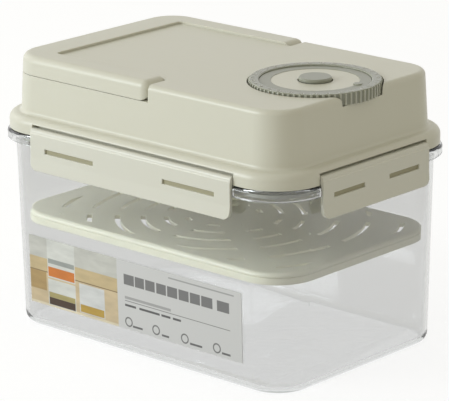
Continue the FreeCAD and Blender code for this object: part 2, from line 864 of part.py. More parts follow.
# The fixed middle of the dial, bored for the button, its spring and its stem
def makeDialHub():
    bore = z["spring_bore_radius"]
    recess = z["button_radius"] + z["running_gap"] * 2
    points = [
        (stemBore, wellFloor),
        (hubRadius, wellFloor),
        (hubRadius, hubFlangeTop),
        (discRadius, hubFlangeTop),
        (discRadius, discTop),
        (recess, discTop),
        (recess, recessFloor),
        (bore, recessFloor),
        (bore, springFloor),
        (stemBore, springFloor),
    ]
    hub = revolved("hubBody", points, z["dial_distance"])
    bump = pointerBump("bumpSeat", z["fixing_gap"], bumpFloor - z["fixing_gap"])
    return cut("dial_hub", hub, bump)


# The venting button and its stem
def makeButton():
    edge = z["button_round"]
    stem = z["stem_radius"]
    neck = stem - z["clip_groove"]
    points = [
        (0, stemBottom),
        (stem, stemBottom),
        (stem, clipBottom),
        (neck, clipBottom),
        (neck, sealBottom),
        (stem, sealBottom),
        (stem, buttonBottom),
        (z["button_radius"], buttonBottom),
        (z["button_radius"], buttonTop - edge),
        (z["button_radius"] - edge, buttonTop),
        (0, buttonTop),
    ]
    return revolved("valve_button", points, z["dial_distance"])


# The coil spring under the button: level half turns, each joined to the next by a rising half turn
def makeSpring():
    low = springFloor + z["spring_wire"] + z["fixing_gap"]
    high = buttonBottom - z["spring_wire"] - z["fixing_gap"]
    radius = z["spring_radius"]
    rise = (high - low) / z["spring_turns"]
    slope = math.degrees(math.atan(rise.value / 2 / radius.value))
    slant = Size(radius.value / math.cos(math.radians(slope)), "sqrt(%s^2 + (%s / 2)^2)")
    slant.formula = slant.formula % (radius.formula, rise.formula)
    halves = []
    for index in range(int(z["spring_turns"].value) + 1):
        halves.append(halfTurn("levelTurn%d" % index, radius, low + rise * index, (0, 0, 1), 180))
    for index in range(int(z["spring_turns"].value)):
        level = low + rise * (index + 0.5)
        halves.append(halfTurn("risingTurn%d" % index, slant, level, (0, 1, 0), slope))
    return fused("valve_spring", halves)


def halfTurn(name, radius, level, axis, angle):
    """Half a ring of spring wire about the dial's axis, turned by an angle about an axis."""
    feature = doc.addObject("Part::Torus", name)
    bind(feature, "Radius1", radius)
    bind(feature, "Radius2", z["spring_wire"])
    feature.Angle3 = 180.0
    feature.Placement.Rotation = FreeCAD.Rotation(FreeCAD.Vector(*axis), angle)
    bind(feature, "Placement.Base.x", z["dial_distance"])
    bind(feature, "Placement.Base.z", level)
    return feature


# The rubber seal under the well's floor, and the clip that holds it on the stem
def makeSeal():
    bore = z["stem_radius"] + z["fixing_gap"]
    radius = z["seal_radius"]
    points = [(bore, sealBottom), (radius, sealBottom), (radius, sealTop), (bore, sealTop)]
    return revolved("valve_seal", points, z["dial_distance"])


def makeClip():
    bore = z["stem_radius"] - z["clip_groove"] + z["fixing_gap"]
    low = clipBottom + z["fixing_gap"]
    high = sealBottom - z["fixing_gap"]
    points = [(bore, low), (z["clip_radius"], low), (z["clip_radius"], high), (bore, high)]
    return revolved("valve_clip", points, z["dial_distance"])


# The press plate: a dished plate with rings of slots, broken by spokes
def makePressPlate():
    body = newBody("pressBody")
    inset = z["press_inset"]
    length = z["rim_length"] - inset * 2
    width = z["rim_width"] - inset * 2
    outline = newSketch(body, "pressOutline", "XY_Plane", z["press_bottom"])
    addRoundedRectangle(outline, length, width, z["press_radius"])
    pad(body, outline, z["press_height"])
    fillet(body, z["press_round"], lambda p, e: near(p.z, pressTop))
    wall = z["press_wall"]
    hollow = newSketch(body, "pressHollow", "XY_Plane", z["press_bottom"])
    addRoundedRectangle(hollow, length - wall * 2, width - wall * 2, z["press_radius"] - wall)
    pocket(body, hollow, z["press_height"] - z["press_deck"], upwards=True)
    groove = newBody("pressGroove")
    deep = z["press_groove_depth"]
    loops = newSketch(groove, "grooveLoops", "XY_Plane", pressTop - z["press_groove_drop"])
    addRoundedRectangle(loops, length + deep * 2, width + deep * 2, z["press_radius"] + deep)
    addRoundedRectangle(loops, length - deep * 2, width - deep * 2, z["press_radius"] - deep)
    pad(groove, loops, z["press_groove_height"])
    plate = cut("press_plate", body, fused("pressTools", [groove, makeSlots(length, width)]))
    bind(plate, "Placement.Base.x", pressShift)
    bind(plate, "Placement.Base.y", -pressShift)
    return plate


def makeSlots(length, width):
    """Concentric slots, kept inside the plate's edge and off the spokes."""
    low = z["press_bottom"] - z["press_deck"]
    height = z["press_height"] + z["press_deck"] * 2
    half = z["ring_slot_width"] / 2
    rings = []
    for index in range(int(z["ring_count"].value)):
        middle = z["first_ring_radius"] + (z["ring_pitch"] + z["ring_growth"] * ((index - 1) / 2)) * index
        drift = z["ring_drift"] * index
        outside = cylinder("ringOutside%d" % index, middle + half, height, drift, 0, low)
        inside = cylinder("ringInside%d" % index, middle - half, height, drift, 0, low)
        rings.append(cut("ring%d" % index, outside, inside))
    spokes = []
    angle = z["spoke_angle"].value
    for index, turn in enumerate((0, angle, 90, 180 - angle)):
        spoke = newBody("spoke%d" % index)
        reach = z["spoke_width"] / 2
        outline = [(-far, -reach), (far, -reach), (far, reach), (-far, reach)]
        sketch = polygonSketch(spoke, "spokeOutline%d" % index, "XY_Plane", low, outline)
        pad(spoke, sketch, height)
        spoke.Placement.Rotation = FreeCAD.Rotation(FreeCAD.Vector(0, 0, 1), turn)
        spokes.append(spoke)
    field = newBody("slotField")
    fieldLength = length - z["ring_end_margin"] * 2
    fieldWidth = width - z["ring_margin"] * 2
    edge = newSketch(field, "slotFieldOutline", "XY_Plane", low)
    addRoundedRectangle(edge, fieldLength, fieldWidth, z["press_radius"] - z["ring_margin"])
    pad(field, edge, height)
    bind(field, "Placement.Base.x", z["ring_field_shift"])
    broken = cut("brokenRings", fused("rings", rings), fused("spokes", spokes))
    return common("slots", [broken, field])


pieces = [makeContainer(), makeFrontLabel(), makeLid()]
pieces.append(gasketRing("lid_gasket", gasketBottom, asSize(0)))
for sideName in sides:
    pieces.append(makeLatch(sideName))
    pieces.append(hingeCylinder(sideName + "_latch_pin", sideName, asSize(0)))
pieces.append(makeHandle())
pieces += [handlePinShaft("handle_pin_" + side, side, asSize(0)) for side in ("front", "back")]
pieces += [makeDateRing(), makePointerRing(), makeDialHub(), makeButton(), makeSpring()]
pieces += [makeSeal(), makeClip(), makePressPlate()]
doc.recompute()

os.makedirs("parts", exist_ok=True)
failed = [item.Name for item in doc.Objects if "Invalid" in item.State or "Error" in item.State]
if failed:
    raise RuntimeError("failed: " + ", ".join(failed))
for piece in pieces:
    piece.Label = piece.Name
    if piece.Shape.isNull() or not piece.Shape.isValid():
        raise RuntimeError(piece.Label + " has no valid shape")
for piece in pieces:
    piece.Shape.exportStep("parts/%s.step" % piece.Label)
    print(piece.Label, round(piece.Shape.Volume), len(piece.Shape.Solids), len(piece.Shape.Faces))
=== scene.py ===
import math

import bmesh
import bpy
from mathutils import Matrix, Quaternion, Vector


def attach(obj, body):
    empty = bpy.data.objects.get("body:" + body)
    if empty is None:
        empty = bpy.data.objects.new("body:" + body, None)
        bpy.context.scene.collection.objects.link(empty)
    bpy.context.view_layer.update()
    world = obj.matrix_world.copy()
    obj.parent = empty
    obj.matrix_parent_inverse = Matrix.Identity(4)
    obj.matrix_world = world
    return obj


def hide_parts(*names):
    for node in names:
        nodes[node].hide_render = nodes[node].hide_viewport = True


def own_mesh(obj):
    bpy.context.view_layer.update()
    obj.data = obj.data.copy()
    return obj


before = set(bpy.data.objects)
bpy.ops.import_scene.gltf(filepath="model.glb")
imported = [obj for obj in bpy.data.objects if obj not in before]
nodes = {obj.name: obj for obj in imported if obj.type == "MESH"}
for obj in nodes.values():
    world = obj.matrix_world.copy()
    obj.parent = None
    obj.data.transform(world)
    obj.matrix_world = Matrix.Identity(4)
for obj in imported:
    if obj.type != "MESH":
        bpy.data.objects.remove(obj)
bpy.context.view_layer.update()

# A kitchen keeper: clear box, cream lid with snap latches, carry handle, date dial and press plate.
# Everything is in metres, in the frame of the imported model.

mm = 0.001
sides = ("front", "back", "left", "right")
white = (1.0, 1.0, 1.0, 1.0)
cream = (0.70, 0.69, 0.60, 1.0)
grey = (0.30, 0.308, 0.25, 1.0)


def addObject(name, data):
    made = bpy.data.objects.new(name, data)
    bpy.context.scene.collection.objects.link(made)
    return made


def closeMesh(bm, name, material):
    mesh = bpy.data.meshes.new(name)
    bm.to_mesh(mesh)
    bm.free()
    mesh.materials.append(material)
    return mesh


# Camera

camera = {
    "azimuth": 42.57,
    "elevation": 16.95,
    "roll": -0.556,
    "aim": (0.0, 0.0, 0.0743),
    "distance": 1.784,
    "lens": 233.4,
    "sensor": 36.0,
    "shift": (0.00303, 0.02797),
    "reach": 20.0,
}


def placeCamera():
    azimuth = math.radians(camera["azimuth"])
    elevation = math.radians(camera["elevation"])
    toCamera = Vector((
        math.sin(azimuth) * math.cos(elevation),
        -math.cos(azimuth) * math.cos(elevation),
        math.sin(elevation),
    ))
    data = bpy.data.cameras.new("photoCamera")
    data.lens = camera["lens"]
    data.sensor_width = camera["sensor"]
    data.shift_x, data.shift_y = camera["shift"]
    data.clip_end = camera["reach"]
    seat = addObject("photoCamera", data)
    seat.location = Vector(camera["aim"]) + toCamera * camera["distance"]
    turn = toCamera.to_track_quat("Z", "Y") @ Quaternion((0, 0, 1), math.radians(camera["roll"]))
    seat.rotation_mode = "QUATERNION"
    seat.rotation_quaternion = turn
    bpy.context.scene.camera = seat


# Node helpers

def newMaterial(name):
    material = bpy.data.materials.new(name)
    material.use_nodes = True
    material.node_tree.nodes.clear()
    return material


def addNode(tree, kind, **settings):
    node = tree.nodes.new(kind)
    for name, value in settings.items():
        setattr(node, name, value)
    return node


def join(tree, source, target):
    tree.links.new(source, target)


def setSocket(tree, socket, value):
    if isinstance(value, (int, float, tuple)):
        socket.default_value = value
    else:
        join(tree, value, socket)


def calculate(tree, operation, *values):
    node = addNode(tree, "ShaderNodeMath", operation=operation)
    for socket, value in zip(node.inputs, values):
        setSocket(tree, socket, value)
    return node.outputs[0]


def vectorMath(tree, operation, *values):
    node = addNode(tree, "ShaderNodeVectorMath", operation=operation)
    for socket, value in zip(node.inputs, values):
        setSocket(tree, socket, value)
    return node


def remap(tree, value, fromRange=(0.0, 1.0), toRange=(0.0, 1.0)):
    node = addNode(tree, "ShaderNodeMapRange")
    node.inputs["From Min"].default_value, node.inputs["From Max"].default_value = fromRange
    node.inputs["To Min"].default_value, node.inputs["To Max"].default_value = toRange
    join(tree, value, node.inputs["Value"])
    return node.outputs[0]


def mixColours(tree, factor, first, second, blend="MIX"):
    node = addNode(tree, "ShaderNodeMix", data_type="RGBA", blend_type=blend)
    for socket, value in zip((node.inputs[0], node.inputs[6], node.inputs[7]), (factor, first, second)):
        setSocket(tree, socket, value)
    return node.outputs[2]


def mixShaders(tree, factor, first, second):
    node = addNode(tree, "ShaderNodeMixShader")
    for socket, source in zip(node.inputs, (factor, first.outputs[0], second.outputs[0])):
        join(tree, source, socket)
    return node.outputs[0]


def placeNoise(tree, vector, scale, detail, roughness=0.5):
    node = addNode(tree, "ShaderNodeTexNoise")
    join(tree, vector, node.inputs["Vector"])
    setSocket(tree, node.inputs["Scale"], scale)
    node.inputs["Detail"].default_value = detail
    node.inputs["Roughness"].default_value = roughness
    return node.outputs[0]


def stretchPattern(tree, vector, scale, turn=(0.0, 0.0, 0.0)):
    node = addNode(tree, "ShaderNodeMapping")
    node.inputs["Rotation"].default_value = turn
    node.inputs["Scale"].default_value = scale
    join(tree, vector, node.inputs["Vector"])
    return node.outputs[0]


def addBump(tree, shader, height, strength, distance, normal=None):
    node = addNode(tree, "ShaderNodeBump")
    node.inputs["Strength"].default_value = strength
    node.inputs["Distance"].default_value = distance
    join(tree, height, node.inputs["Height"])
    if normal is not None:
        join(tree, normal, node.inputs["Normal"])
    join(tree, node.outputs[0], shader.inputs["Normal"])


def closeTree(tree, surface, kind="ShaderNodeOutputMaterial"):
    leave = addNode(tree, kind)
    join(tree, surface, leave.inputs["Surface"])
    return leave


def shade(colour, share, brightest=1.0):
    return tuple(min(part * share, brightest) for part in colour[:3]) + (1.0,)


def newGroup(name, inputs, outputs):
    group = bpy.data.node_groups.new(name, "ShaderNodeTree")
    for label, value in inputs.items():
        socket = group.interface.new_socket(label, in_out="INPUT", socket_type="NodeSocketFloat")
        socket.default_value = value
    for label, kind in outputs.items():
        group.interface.new_socket(label, in_out="OUTPUT", socket_type=kind)
    entry = group.nodes.new("NodeGroupInput")
    leave = group.nodes.new("NodeGroupOutput")
    return group, entry, leave


def placeGroup(tree, group, **values):
    node = addNode(tree, "ShaderNodeGroup", node_tree=group)
    for label, value in values.items():
        node.inputs[label].default_value = value
    return node


# Shared effects

effects = {
    "fineDetail": 3.0,
    "fineRoughness": 0.6,
    "broadDetail": 4.0,
    "broadRoughness": 0.55,
    "edgeSamples": 4,
    "edgeTurn": (0.005, 0.15),  # how far the rounded normal leans where the painted edge highlight starts and is full
    "scuffTurn": (0.4, 0.9, 0.6),
    "scuffStretch": (1.0, 7.0, 1.6),
    "scuffDetail": 5.0,
    "scuffFrom": (0.56, 0.74),
}


def makeGrainGroup():
    group, entry, leave = newGroup(
        "mouldedGrain",
        {"Fine": 1400.0, "Broad": 14.0},
        {"Height": "NodeSocketFloat", "Mottle": "NodeSocketFloat"},
    )
    place = addNode(group, "ShaderNodeTexCoord").outputs["Object"]
    fine = placeNoise(group, place, entry.outputs["Fine"], effects["fineDetail"], effects["fineRoughness"])
    broad = placeNoise(
        group, place, entry.outputs["Broad"], effects["broadDetail"], effects["broadRoughness"]
    )
    join(group, fine, leave.inputs["Height"])
    join(group, broad, leave.inputs["Mottle"])
    return group


def makeEdgeGroup():
    group, entry, leave = newGroup(
        "roundedEdge",
        {"Radius": 0.0004},
        {"Normal": "NodeSocketVector", "Mask": "NodeSocketFloat"},
    )
    bevel = addNode(group, "ShaderNodeBevel", samples=effects["edgeSamples"])
    join(group, entry.outputs["Radius"], bevel.inputs["Radius"])
    face = addNode(group, "ShaderNodeNewGeometry")
    turned = vectorMath(group, "DOT_PRODUCT", bevel.outputs[0], face.outputs["Normal"])
    away = calculate(group, "SUBTRACT", 1.0, turned.outputs["Value"])
    join(group, bevel.outputs[0], leave.inputs["Normal"])
    join(group, remap(group, away, effects["edgeTurn"]), leave.inputs["Mask"])
    return group


def makeScuffGroup():
    group, entry, leave = newGroup(
        "handlingScuffs",
        {"Scale": 60.0, "Amount": 0.2},
        {"Value": "NodeSocketFloat"},
    )
    place = addNode(group, "ShaderNodeTexCoord").outputs["Object"]
    streaks = stretchPattern(group, place, effects["scuffStretch"], effects["scuffTurn"])
    noise = placeNoise(group, streaks, entry.outputs["Scale"], effects["scuffDetail"])
    ramp = remap(group, noise, effects["scuffFrom"])
    join(group, calculate(group, "MULTIPLY", ramp, entry.outputs["Amount"]), leave.inputs["Value"])
    return group


def makePatchGroup():
    group, entry, leave = newGroup(
        "printedPatch",
        {"Across": 0.0, "Up": 0.0, "Half Length": 0.01, "Half Height": 0.01, "Softness": 0.0001},
        {"Mask": "NodeSocketFloat"},
    )
    place = addNode(group, "ShaderNodeTexCoord")
    split = addNode(group, "ShaderNodeSeparateXYZ")
    join(group, place.outputs["Object"], split.inputs[0])
    masks = []
    for axis, centre, half in (("X", "Across", "Half Length"), ("Z", "Up", "Half Height")):
        shift = calculate(group, "SUBTRACT", split.outputs[axis], entry.outputs[centre])
        inside = calculate(group, "SUBTRACT", entry.outputs[half], calculate(group, "ABSOLUTE", shift))
        soft = calculate(group, "DIVIDE", inside, entry.outputs["Softness"])
        clamp = addNode(group, "ShaderNodeClamp")
        join(group, calculate(group, "ADD", soft, 0.5), clamp.inputs["Value"])
        masks.append(clamp.outputs[0])
    join(group, calculate(group, "MULTIPLY", *masks), leave.inputs["Mask"])
    return group


grain = makeGrainGroup()
edge = makeEdgeGroup()
scuffs = makeScuffGroup()
patch = makePatchGroup()
print("shared effects ready")


# Materials

satin = {
    "ior": 1.5,
    "depth": 0.12,  # share of light that enters the plastic
    "depthSpread": (1.0, 0.9, 0.75),
    "depthReach": 0.0015,
    "fine": 1500.0,
    "broad": 11.0,
    "edge": 0.0004,
    # edgeAmount, pale and palest set a painted highlight: rounded edges drawn paler than the face
    "edgeAmount": 0.85,
    "scuffs": 45.0,
    "scuffAmount": 0.05,
    "dark": 0.965,
    "pale": 1.22,
    "palest": 0.92,
    "rough": 0.36,
    "roughSpread": 0.05,
    "bump": 0.35,
    "bumpHeight": 0.00004,
}


def makePlastic(name, colour, **changes):
    look = dict(satin, **changes)
    material = newMaterial(name)
    tree = material.node_tree
    shader = addNode(tree, "ShaderNodeBsdfPrincipled")
    shader.inputs["IOR"].default_value = look["ior"]
    shader.inputs["Subsurface Weight"].default_value = look["depth"]
    shader.inputs["Subsurface Radius"].default_value = look["depthSpread"]
    shader.inputs["Subsurface Scale"].default_value = look["depthReach"]
    grains = placeGroup(tree, grain, Fine=look["fine"], Broad=look["broad"])
    edges = placeGroup(tree, edge, Radius=look["edge"])
    marks = placeGroup(tree, scuffs, Scale=look["scuffs"], Amount=look["scuffAmount"])
    body = mixColours(tree, grains.outputs["Mottle"], shade(colour, look["dark"]), colour)
    # Rounded edges are painted paler: a painted highlight along every edge.
    paintedHighlight = calculate(tree, "MULTIPLY", edges.outputs["Mask"], look["edgeAmount"])
    highlightColour = shade(colour, look["pale"], look["palest"])
    join(tree, mixColours(tree, paintedHighlight, body, highlightColour), shader.inputs["Base Color"])
    roughRange = (look["rough"] - look["roughSpread"], look["rough"] + look["roughSpread"])
    rough = remap(tree, grains.outputs["Mottle"], toRange=roughRange)
    join(tree, calculate(tree, "ADD", rough, marks.outputs[0]), shader.inputs["Roughness"])
    height = grains.outputs["Height"]
    addBump(tree, shader, height, look["bump"], look["bumpHeight"], edges.outputs["Normal"])
    closeTree(tree, shader.outputs[0])
    return material


# The ribs of the date ring, paler towards their crests: a painted highlight on the crests
ribs = {
    "centre": (0.0744, 0.0, 0.0),
    "highlightRadii": (0.03905, 0.0394),
    "amount": 0.48,
    "colour": (0.66, 0.66, 0.60, 1.0),
}


def addRibWear(material):
    tree = material.node_tree
    shader = tree.nodes["Principled BSDF"]
    place = addNode(tree, "ShaderNodeTexCoord")
    centred = vectorMath(tree, "SUBTRACT", place.outputs["Object"], ribs["centre"])
    flat = vectorMath(tree, "MULTIPLY", centred.outputs[0], (1.0, 1.0, 0.0))
    radius = vectorMath(tree, "LENGTH", flat.outputs[0])
    paintedHighlight = remap(tree, radius.outputs["Value"], ribs["highlightRadii"], (0.0, ribs["amount"]))
    before = shader.inputs["Base Color"].links[0].from_socket
    join(tree, mixColours(tree, paintedHighlight, before, ribs["colour"]), shader.inputs["Base Color"])


clear = {
    "ior": 1.49,
    "tint": (0.84, 0.84, 0.84, 1.0),
    "dull": 0.985,
    "shadow": (0.98, 0.985, 0.985, 1.0),
    "deep": (0.82, 0.82, 0.79, 1.0),  # for rays that have turned too often in the walls
    "turns": 7.5,
    "fine": 260.0,
    "broad": 16.0,
    "scuffs": 34.0,
    "scuffAmount": 0.02,
    "rough": 0.008,
    "bump": 0.03,
    "bumpHeight": 0.00002,
    "depthColour": (0.60, 0.63, 0.61, 1.0),
    "depthDensity": 60.0,
}


def makeClearPlastic():
    material = newMaterial("clearPlastic")
    tree = material.node_tree
    shader = addNode(tree, "ShaderNodeBsdfPrincipled")
    shader.inputs["Transmission Weight"].default_value = 1.0
    shader.inputs["IOR"].default_value = clear["ior"]
    grains = placeGroup(tree, grain, Fine=clear["fine"], Broad=clear["broad"])
    marks = placeGroup(tree, scuffs, Scale=clear["scuffs"], Amount=clear["scuffAmount"])
    duller = shade(clear["tint"], clear["dull"])
    join(tree, mixColours(tree, grains.outputs["Mottle"], duller, clear["tint"]), shader.inputs["Base Color"])
    join(tree, calculate(tree, "ADD", marks.outputs[0], clear["rough"]), shader.inputs["Roughness"])
    addBump(tree, shader, grains.outputs["Height"], clear["bump"], clear["bumpHeight"])
    path = addNode(tree, "ShaderNodeLightPath")
    through = addNode(tree, "ShaderNodeBsdfTransparent")
    dimmed = mixColours(tree, path.outputs["Is Shadow Ray"], clear["deep"], clear["shadow"])
    join(tree, dimmed, through.inputs["Color"])
    trapped = calculate(tree, "GREATER_THAN", path.outputs["Ray Depth"], clear["turns"])
    straight = calculate(tree, "MAXIMUM", path.outputs["Is Shadow Ray"], trapped)
    depth = addNode(tree, "ShaderNodeVolumeAbsorption")
    depth.inputs["Color"].default_value = clear["depthColour"]
    depth.inputs["Density"].default_value = clear["depthDensity"]
    leave = closeTree(tree, mixShaders(tree, straight, shader, through))
    join(tree, depth.outputs[0], leave.inputs["Volume"])
    return material


steel = {
    "fine": 2600.0,
    "broad": 90.0,
    "dark": (0.50, 0.49, 0.47, 1.0),
    "pale": (0.66, 0.65, 0.63, 1.0),
    "rough": (0.2, 0.42),
}


def makeSteel():
    material = newMaterial("springSteel")
    tree = material.node_tree
    shader = addNode(tree, "ShaderNodeBsdfPrincipled")
    shader.inputs["Metallic"].default_value = 1.0
    grains = placeGroup(tree, grain, Fine=steel["fine"], Broad=steel["broad"])
    colour = mixColours(tree, grains.outputs["Mottle"], steel["dark"], steel["pale"])
    join(tree, colour, shader.inputs["Base Color"])
    join(tree, remap(tree, grains.outputs["Height"], toRange=steel["rough"]), shader.inputs["Roughness"])
    closeTree(tree, shader.outputs[0])
    return material


# The print on the label: plain fields and simple shapes. Each place is the left, right, bottom and
# top in millimetres, and then comes a colour, or how dark the ink is.
label = {
    "ior": 1.46,
    "paper": (0.64, 0.64, 0.655, 1.0),
    # back: bare paper, lifted paler as painted light for its shaded side
    "back": (0.90, 0.90, 0.88, 1.0),
    "softness": 0.0002,
    "field": (-93.0, -17.6, 16.5, 60.1),
    "picture": [
        (-93.0, -17.6, 16.5, 60.1, (0.58, 0.58, 0.55, 1.0)),
        (-93.0, -17.6, 16.5, 47.0, (0.58, 0.46, 0.27, 1.0)),
        (-93.0, -17.6, 16.5, 38.4, (0.62, 0.50, 0.33, 1.0)),
        (-93.0, -79.0, 26.0, 38.0, (0.42, 0.29, 0.13, 1.0)),
        (-93.0, -17.6, 38.0, 38.6, (0.23, 0.16, 0.08, 1.0)),
        (-93.0, -17.6, 16.5, 18.0, (0.76, 0.68, 0.52, 1.0)),
        (-77.6, -53.7, 35.4, 60.1, (0.68, 0.69, 0.67, 1.0)),
        (-77.0, -54.3, 44.6, 47.6, (0.34, 0.36, 0.35, 1.0)),
        (-77.0, -54.3, 36.2, 42.4, (0.62, 0.20, 0.04, 1.0)),
        (-77.6, -53.7, 17.6, 34.4, (0.68, 0.69, 0.67, 1.0)),
        (-77.0, -54.3, 22.6, 26.0, (0.42, 0.36, 0.16, 1.0)),
        (-77.0, -54.3, 17.9, 22.6, (0.06, 0.035, 0.02, 1.0)),
        (-50.4, -28.9, 18.4, 37.2, (0.68, 0.69, 0.70, 1.0)),
        (-49.8, -29.5, 18.9, 23.8, (0.50, 0.33, 0.07, 1.0)),
    ],
    "shadeScale": 150.0,
    "shadeDetail": 3.0,
    "shadeStretch": (0.45, 1.0, 1.6),
    "shadeFrom": (0.3, 0.7),
    "shadeTo": (0.72, 1.18),
    "shadeAmount": 0.42,
    "ink": (0.016, 0.016, 0.018, 1.0),
    "title": [
        (-11.9, -3.4), (-2.6, 5.0), (6.0, 13.8), (15.1, 23.0), (24.0, 32.2),
        (33.3, 41.4), (42.4, 50.5), (51.5, 60.4), (64.0, 73.6),
    ],
    "titleHeight": (45.0, 51.6),
    "titleWeight": 0.72,
    "lines": [
        (25.2, 77.5, 56.5, 57.4, 0.42),
        (-11.5, 26.5, 35.9, 37.6, 0.40),
        (-11.5, 74.0, 34.5, 34.9, 0.75),
        (-11.5, -2.4, 31.2, 32.6, 0.85),
        (0.4, 17.2, 31.2, 32.6, 0.85),
        (18.6, 26.0, 31.2, 32.6, 0.85),
        (28.0, 34.6, 31.2, 32.6, 0.85),
        (-5.6, 2.6, 18.6, 19.9, 0.8),
        (18.5, 24.4, 18.6, 19.9, 0.8),
        (41.4, 51.2, 18.6, 19.9, 0.8),
        (67.0, 73.8, 18.6, 19.9, 0.8),
    ],
    "icons": (-8.8, 13.8, 37.3, 63.0),
    "iconLevel": 21.4,
    "iconRadius": 2.7,
    "iconLine": (0.0006, 0.0003),
    "iconWeight": 0.75,
    "fibreScale": 700.0,
    "fibreDetail": 4.0,
    "rough": (0.34, 0.5),
    "bump": 0.2,
    "bumpHeight": 0.00003,
}


def placePatch(tree, left, right, bottom, top):
    node = placeGroup(tree, patch, Softness=label["softness"])
    node.inputs["Across"].default_value = (left + right) / 2 * mm
    node.inputs["Up"].default_value = (bottom + top) / 2 * mm
    node.inputs["Half Length"].default_value = (right - left) / 2 * mm
    node.inputs["Half Height"].default_value = (top - bottom) / 2 * mm
    return node.outputs["Mask"]


def addPicture(tree, place, colour):
    for left, right, bottom, top, ink in label["picture"]:
        colour = mixColours(tree, placePatch(tree, left, right, bottom, top), colour, ink)
    # uneven shades over the picture field, as in a printed view
    streaks = stretchPattern(tree, place.outputs["Object"], label["shadeStretch"])
    shades = placeNoise(tree, streaks, label["shadeScale"], label["shadeDetail"])
    tone = remap(tree, shades, label["shadeFrom"], label["shadeTo"])
    spread = calculate(tree, "MULTIPLY", placePatch(tree, *label["field"]), label["shadeAmount"])
    return mixColours(tree, spread, colour, mixColours(tree, 1.0, colour, tone, "MULTIPLY"))


def addWriting(tree, colour):
    bottom, top = label["titleHeight"]
    blocks = [(left, right, bottom, top, label["titleWeight"]) for left, right in label["title"]]
    for left, right, low, high, weight in blocks + label["lines"]:
        mask = calculate(tree, "MULTIPLY", placePatch(tree, left, right, low, high), weight)
        colour = mixColours(tree, mask, colour, label["ink"])
    return colour


def addIcons(tree, place, colour):
    split = addNode(tree, "ShaderNodeSeparateXYZ")
    join(tree, place.outputs["Object"], split.inputs[0])
    up = calculate(tree, "SUBTRACT", split.outputs["Z"], label["iconLevel"] * mm)
    upSquare = calculate(tree, "MULTIPLY", up, up)
    for centre in label["icons"]:
        across = calculate(tree, "SUBTRACT", split.outputs["X"], centre * mm)
        acrossSquare = calculate(tree, "MULTIPLY", across, across)
        away = calculate(tree, "SQRT", calculate(tree, "ADD", acrossSquare, upSquare))
        fromRim = calculate(tree, "SUBTRACT", away, label["iconRadius"] * mm)
        ring = remap(tree, calculate(tree, "ABSOLUTE", fromRim), label["iconLine"])
        mask = calculate(tree, "MULTIPLY", ring, label["iconWeight"])
        colour = mixColours(tree, mask, colour, label["ink"])
    return colour


def makeLabel():
    material = newMaterial("printedLabel")
    tree = material.node_tree
    shader = addNode(tree, "ShaderNodeBsdfPrincipled")
    shader.inputs["IOR"].default_value = label["ior"]
    place = addNode(tree, "ShaderNodeTexCoord")
    colour = addPicture(tree, place, label["paper"])
    colour = addWriting(tree, colour)
    colour = addIcons(tree, place, colour)
    # the side that faces the wall is bare paper, its colour lifted paler as painted light for that shaded
    # side
    facing = addNode(tree, "ShaderNodeSeparateXYZ")
    join(tree, place.outputs["Normal"], facing.inputs[0])
    behind = calculate(tree, "GREATER_THAN", facing.outputs["Y"], 0.5)
    join(tree, mixColours(tree, behind, colour, label["back"]), shader.inputs["Base Color"])
    fibre = placeNoise(tree, place.outputs["Object"], label["fibreScale"], label["fibreDetail"])
    join(tree, remap(tree, fibre, toRange=label["rough"]), shader.inputs["Roughness"])
    addBump(tree, shader, fibre, label["bump"], label["bumpHeight"])
    closeTree(tree, shader.outputs[0])
    return material


creamPlastic = makePlastic("creamPlastic", cream)
# The latches are the lid's cream painted a little paler as painted light on their faces, with a strong
# painted highlight along their edges.
latchPaintedLightPlastic = makePlastic(
    "latchPaintedLightPlastic", (0.725, 0.72, 0.65, 1.0), edge=0.0007, pale=1.26, edgeAmount=1.0, rough=0.3
)
# The handle carries a stronger painted highlight along its edges.
handlePlastic = makePlastic("handlePlastic", cream, edge=0.0008, pale=1.28, edgeAmount=1.0)
# The press plate's own pale cream, lifted further as painted light where the lid keeps the light off it.
platePaintedLightPlastic = makePlastic("platePaintedLightPlastic", (0.895, 0.87, 0.70, 1.0), edge=0.0003, pale=1.12, rough=0.4)
# The grey parts carry a strong painted highlight along their edges, and the date ring's ribs also on their
# crests.
greyPlastic = makePlastic("greyPlastic", grey, dark=0.95, pale=2.0, edge=0.0005, rough=0.32)
ribbedPlastic = makePlastic(
    "ribbedPlastic", grey, dark=0.88, pale=2.4, edge=0.0006, edgeAmount=1.0, rough=0.22, bump=0.2
)
siliconeRubber = makePlastic(
    "siliconeRubber", (0.72, 0.73, 0.71, 1.0), depth=0.4, fine=900.0, edgeAmount=0.2, rough=0.55, bump=0.6
)
numeralPaint = makePlastic("numeralPaint", (0.66, 0.66, 0.61, 1.0), edgeAmount=0.1, rough=0.45)
# A dark olive that stands for the shade inside the latch slots: painted shade.
paintedShadePlastic = makePlastic(
    "paintedShadePlastic", (0.40, 0.375, 0.255, 1.0), edge=0.0002, edgeAmount=0.3, rough=0.5
)
addRibWear(ribbedPlastic)
clearPlastic = makeClearPlastic()
springSteel = makeSteel()
printedLabel = makeLabel()
print("materials ready")


# Pieces

